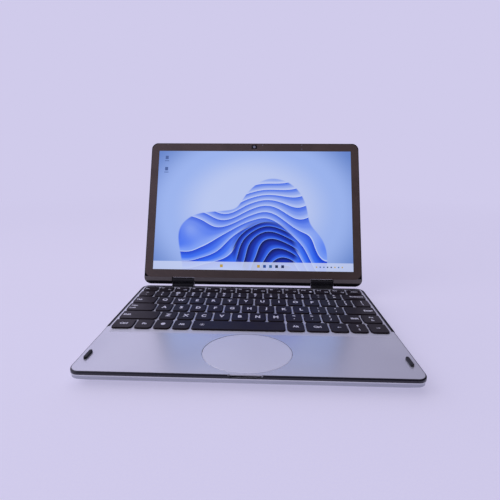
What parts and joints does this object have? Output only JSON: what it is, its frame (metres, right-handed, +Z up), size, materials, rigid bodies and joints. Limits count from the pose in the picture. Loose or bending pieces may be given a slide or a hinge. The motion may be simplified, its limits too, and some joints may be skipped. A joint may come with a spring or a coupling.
{
  "type": "laptop computer",
  "caption": "Small clamshell laptop computer, standing open: a flat base with a keyboard and a round touchpad, and a framed glass screen on a rear hinge.",
  "frame": {"origin": "middle of the bottom cover's flat underside", "axes": "+X to the right as the user sees it, +Y from the front edge to the hinge, +Z up"},
  "size_m": [0.245, 0.2321, 0.1678],
  "materials": {
    "anodised_shell": "fine bead-blasted, satin",
    "black_trim": "fine moulded grain",
    "keycap": "soft-touch moulded, white legends",
    "rubber": "matt moulded",
    "steel": "stamped",
    "screw_steel": "black-plated",
    "silicone": "translucent moulded",
    "circuit_board": "solder mask",
    "copper": "drawn copper",
    "dark_plastic": "moulded",
    "battery_wrap": "wrapped film",
    "touchpad_skin": "satin lacquer",
    "lid_frame_black": "semi-gloss moulded",
    "cover_glass": "polished, printed black border",
    "display": "lit display"
  },
  "bodies": {
    "base": {"bottom_cover": "anodised_shell", "top_case": "anodised_shell", "keyboard_trim": "black_trim", "lid_bumpers": "rubber", "keyboard_plate": "steel", "dome_sheet": "silicone", "touchpad_tray": "steel", "rubber_feet": "rubber", "bottom_screws": "screw_steel", "motherboard": "circuit_board", "heat_spreader": "copper", "fan_housing": "dark_plastic", "battery_cells": "battery_wrap", "speakers": "dark_plastic", "storage_card": "circuit_board", "usb_sockets": "steel", "audio_jack": "dark_plastic", "hinge_knuckles": "lid_frame_black", "hinge_pins": "steel", "hinge_brackets": "steel"},
    "lid": {"lid_cover": "anodised_shell", "lid_frame": "lid_frame_black", "screen_glass": "cover_glass", "display_panel": "display", "camera_module": "dark_plastic", "antennas": "copper", "hinge_leaves": "steel"},
    "touchpad": {"touchpad": "touchpad_skin", "touchpad_board": "circuit_board"},
    "power_button": {"power_button": "anodised_shell"},
    "fan_rotor": {"fan_rotor": "dark_plastic"},
    "key_left_ctrl": {"key_left_ctrl": "keycap"},
    "key_fn": {"key_fn": "keycap"},
    "key_menu": {"key_menu": "keycap"},
    "key_left_alt": {"key_left_alt": "keycap"},
    "key_space_bar": {"key_space_bar": "keycap"},
    "key_right_alt": {"key_right_alt": "keycap"},
    "key_right_ctrl": {"key_right_ctrl": "keycap"},
    "key_arrow_left": {"key_arrow_left": "keycap"},
    "key_arrow_up_down": {"key_arrow_up_down": "keycap"},
    "key_arrow_right": {"key_arrow_right": "keycap"},
    "key_left_shift": {"key_left_shift": "keycap"},
    "keys_shift_row_left": {"keys_shift_row_left": "keycap"},
    "keys_shift_row_right": {"keys_shift_row_right": "keycap"},
    "key_right_shift": {"key_right_shift": "keycap"},
    "key_print": {"key_print": "keycap"},
    "key_caps_lock": {"key_caps_lock": "keycap"},
    "keys_home_row_left": {"keys_home_row_left": "keycap"},
    "keys_home_row_right": {"keys_home_row_right": "keycap"},
    "key_enter": {"key_enter": "keycap"},
    "key_tab": {"key_tab": "keycap"},
    "keys_tab_row_left": {"keys_tab_row_left": "keycap"},
    "keys_tab_row_right": {"keys_tab_row_right": "keycap"},
    "keys_number_row_left": {"keys_number_row_left": "keycap"},
    "keys_number_row_right": {"keys_number_row_right": "keycap"},
    "key_backspace": {"key_backspace": "keycap"},
    "key_escape": {"key_escape": "keycap"},
    "keys_function_row_left": {"keys_function_row_left": "keycap"},
    "keys_function_row_right": {"keys_function_row_right": "keycap"},
    "key_delete": {"key_delete": "keycap"}
  },
  "joints": [
    {"name": "lid_hinge", "type": "hinge", "parent": "base", "child": "lid", "pos_m": [0, 0.0843, 0.0154], "axis": [-1, 0, 0], "range_deg": [-113.3, 66.7]},
    {"name": "touchpad_click", "type": "hinge", "parent": "base", "child": "touchpad", "pos_m": [0, -0.0256, 0.0093], "axis": [1, 0, 0], "range_deg": [0, 0.35], "stiffness_Nm_per_rad": 5, "springref_deg": -0.23},
    {"name": "power_button_press", "type": "slide", "parent": "base", "child": "power_button", "axis": [-1, 0, 0], "range_m": [0, 0.0005], "stiffness_N_per_m": 1500, "springref_m": -0.0005},
    {"name": "fan_spin", "type": "hinge", "parent": "base", "child": "fan_rotor", "pos_m": [-0.084, 0.031, 0.0034], "axis": [0, 0, 1], "continuous": true},
    {"name": "key_left_ctrl_press", "type": "slide", "parent": "base", "child": "key_left_ctrl", "axis": [0, 0, -1], "range_m": [0, 0.0012], "stiffness_N_per_m": 350, "springref_m": -0.0008},
    {"name": "key_fn_press", "type": "slide", "parent": "base", "child": "key_fn", "axis": [0, 0, -1], "range_m": [0, 0.0012], "stiffness_N_per_m": 350, "springref_m": -0.0008},
    {"name": "key_menu_press", "type": "slide", "parent": "base", "child": "key_menu", "axis": [0, 0, -1], "range_m": [0, 0.0012], "stiffness_N_per_m": 350, "springref_m": -0.0008},
    {"name": "key_left_alt_press", "type": "slide", "parent": "base", "child": "key_left_alt", "axis": [0, 0, -1], "range_m": [0, 0.0012], "stiffness_N_per_m": 350, "springref_m": -0.0008},
    {"name": "key_space_bar_press", "type": "slide", "parent": "base", "child": "key_space_bar", "axis": [0, 0, -1], "range_m": [0, 0.0012], "stiffness_N_per_m": 350, "springref_m": -0.0008},
    {"name": "key_right_alt_press", "type": "slide", "parent": "base", "child": "key_right_alt", "axis": [0, 0, -1], "range_m": [0, 0.0012], "stiffness_N_per_m": 350, "springref_m": -0.0008},
    {"name": "key_right_ctrl_press", "type": "slide", "parent": "base", "child": "key_right_ctrl", "axis": [0, 0, -1], "range_m": [0, 0.0012], "stiffness_N_per_m": 350, "springref_m": -0.0008},
    {"name": "key_arrow_left_press", "type": "slide", "parent": "base", "child": "key_arrow_left", "axis": [0, 0, -1], "range_m": [0, 0.0012], "stiffness_N_per_m": 350, "springref_m": -0.0008},
    {"name": "key_arrow_up_down_press", "type": "slide", "parent": "base", "child": "key_arrow_up_down", "axis": [0, 0, -1], "range_m": [0, 0.0012], "stiffness_N_per_m": 350, "springref_m": -0.0008},
    {"name": "key_arrow_right_press", "type": "slide", "parent": "base", "child": "key_arrow_right", "axis": [0, 0, -1], "range_m": [0, 0.0012], "stiffness_N_per_m": 350, "springref_m": -0.0008},
    {"name": "key_left_shift_press", "type": "slide", "parent": "base", "child": "key_left_shift", "axis": [0, 0, -1], "range_m": [0, 0.0012], "stiffness_N_per_m": 350, "springref_m": -0.0008},
    {"name": "keys_shift_row_left_press", "type": "slide", "parent": "base", "child": "keys_shift_row_left", "axis": [0, 0, -1], "range_m": [0, 0.0012], "stiffness_N_per_m": 1750, "springref_m": -0.0008},
    {"name": "keys_shift_row_right_press", "type": "slide", "parent": "base", "child": "keys_shift_row_right", "axis": [0, 0, -1], "range_m": [0, 0.0012], "stiffness_N_per_m": 1750, "springref_m": -0.0008},
    {"name": "key_right_shift_press", "type": "slide", "parent": "base", "child": "key_right_shift", "axis": [0, 0, -1], "range_m": [0, 0.0012], "stiffness_N_per_m": 350, "springref_m": -0.0008},
    {"name": "key_print_press", "type": "slide", "parent": "base", "child": "key_print", "axis": [0, 0, -1], "range_m": [0, 0.0012], "stiffness_N_per_m": 350, "springref_m": -0.0008},
    {"name": "key_caps_lock_press", "type": "slide", "parent": "base", "child": "key_caps_lock", "axis": [0, 0, -1], "range_m": [0, 0.0012], "stiffness_N_per_m": 350, "springref_m": -0.0008},
    {"name": "keys_home_row_left_press", "type": "slide", "parent": "base", "child": "keys_home_row_left", "axis": [0, 0, -1], "range_m": [0, 0.0012], "stiffness_N_per_m": 1750, "springref_m": -0.0008},
    {"name": "keys_home_row_right_press", "type": "slide", "parent": "base", "child": "keys_home_row_right", "axis": [0, 0, -1], "range_m": [0, 0.0012], "stiffness_N_per_m": 2100, "springref_m": -0.0008},
    {"name": "key_enter_press", "type": "slide", "parent": "base", "child": "key_enter", "axis": [0, 0, -1], "range_m": [0, 0.0012], "stiffness_N_per_m": 350, "springref_m": -0.0008},
    {"name": "key_tab_press", "type": "slide", "parent": "base", "child": "key_tab", "axis": [0, 0, -1], "range_m": [0, 0.0012], "stiffness_N_per_m": 350, "springref_m": -0.0008},
    {"name": "keys_tab_row_left_press", "type": "slide", "parent": "base", "child": "keys_tab_row_left", "axis": [0, 0, -1], "range_m": [0, 0.0012], "stiffness_N_per_m": 1750, "springref_m": -0.0008},
    {"name": "keys_tab_row_right_press", "type": "slide", "parent": "base", "child": "keys_tab_row_right", "axis": [0, 0, -1], "range_m": [0, 0.0012], "stiffness_N_per_m": 2800, "springref_m": -0.0008},
    {"name": "keys_number_row_left_press", "type": "slide", "parent": "base", "child": "keys_number_row_left", "axis": [0, 0, -1], "range_m": [0, 0.0012], "stiffness_N_per_m": 2450, "springref_m": -0.0008},
    {"name": "keys_number_row_right_press", "type": "slide", "parent": "base", "child": "keys_number_row_right", "axis": [0, 0, -1], "range_m": [0, 0.0012], "stiffness_N_per_m": 2100, "springref_m": -0.0008},
    {"name": "key_backspace_press", "type": "slide", "parent": "base", "child": "key_backspace", "axis": [0, 0, -1], "range_m": [0, 0.0012], "stiffness_N_per_m": 350, "springref_m": -0.0008},
    {"name": "key_escape_press", "type": "slide", "parent": "base", "child": "key_escape", "axis": [0, 0, -1], "range_m": [0, 0.0012], "stiffness_N_per_m": 350, "springref_m": -0.0008},
    {"name": "keys_function_row_left_press", "type": "slide", "parent": "base", "child": "keys_function_row_left", "axis": [0, 0, -1], "range_m": [0, 0.0012], "stiffness_N_per_m": 2100, "springref_m": -0.0008},
    {"name": "keys_function_row_right_press", "type": "slide", "parent": "base", "child": "keys_function_row_right", "axis": [0, 0, -1], "range_m": [0, 0.0012], "stiffness_N_per_m": 2100, "springref_m": -0.0008},
    {"name": "key_delete_press", "type": "slide", "parent": "base", "child": "key_delete", "axis": [0, 0, -1], "range_m": [0, 0.0012], "stiffness_N_per_m": 350, "springref_m": -0.0008}
  ]
}
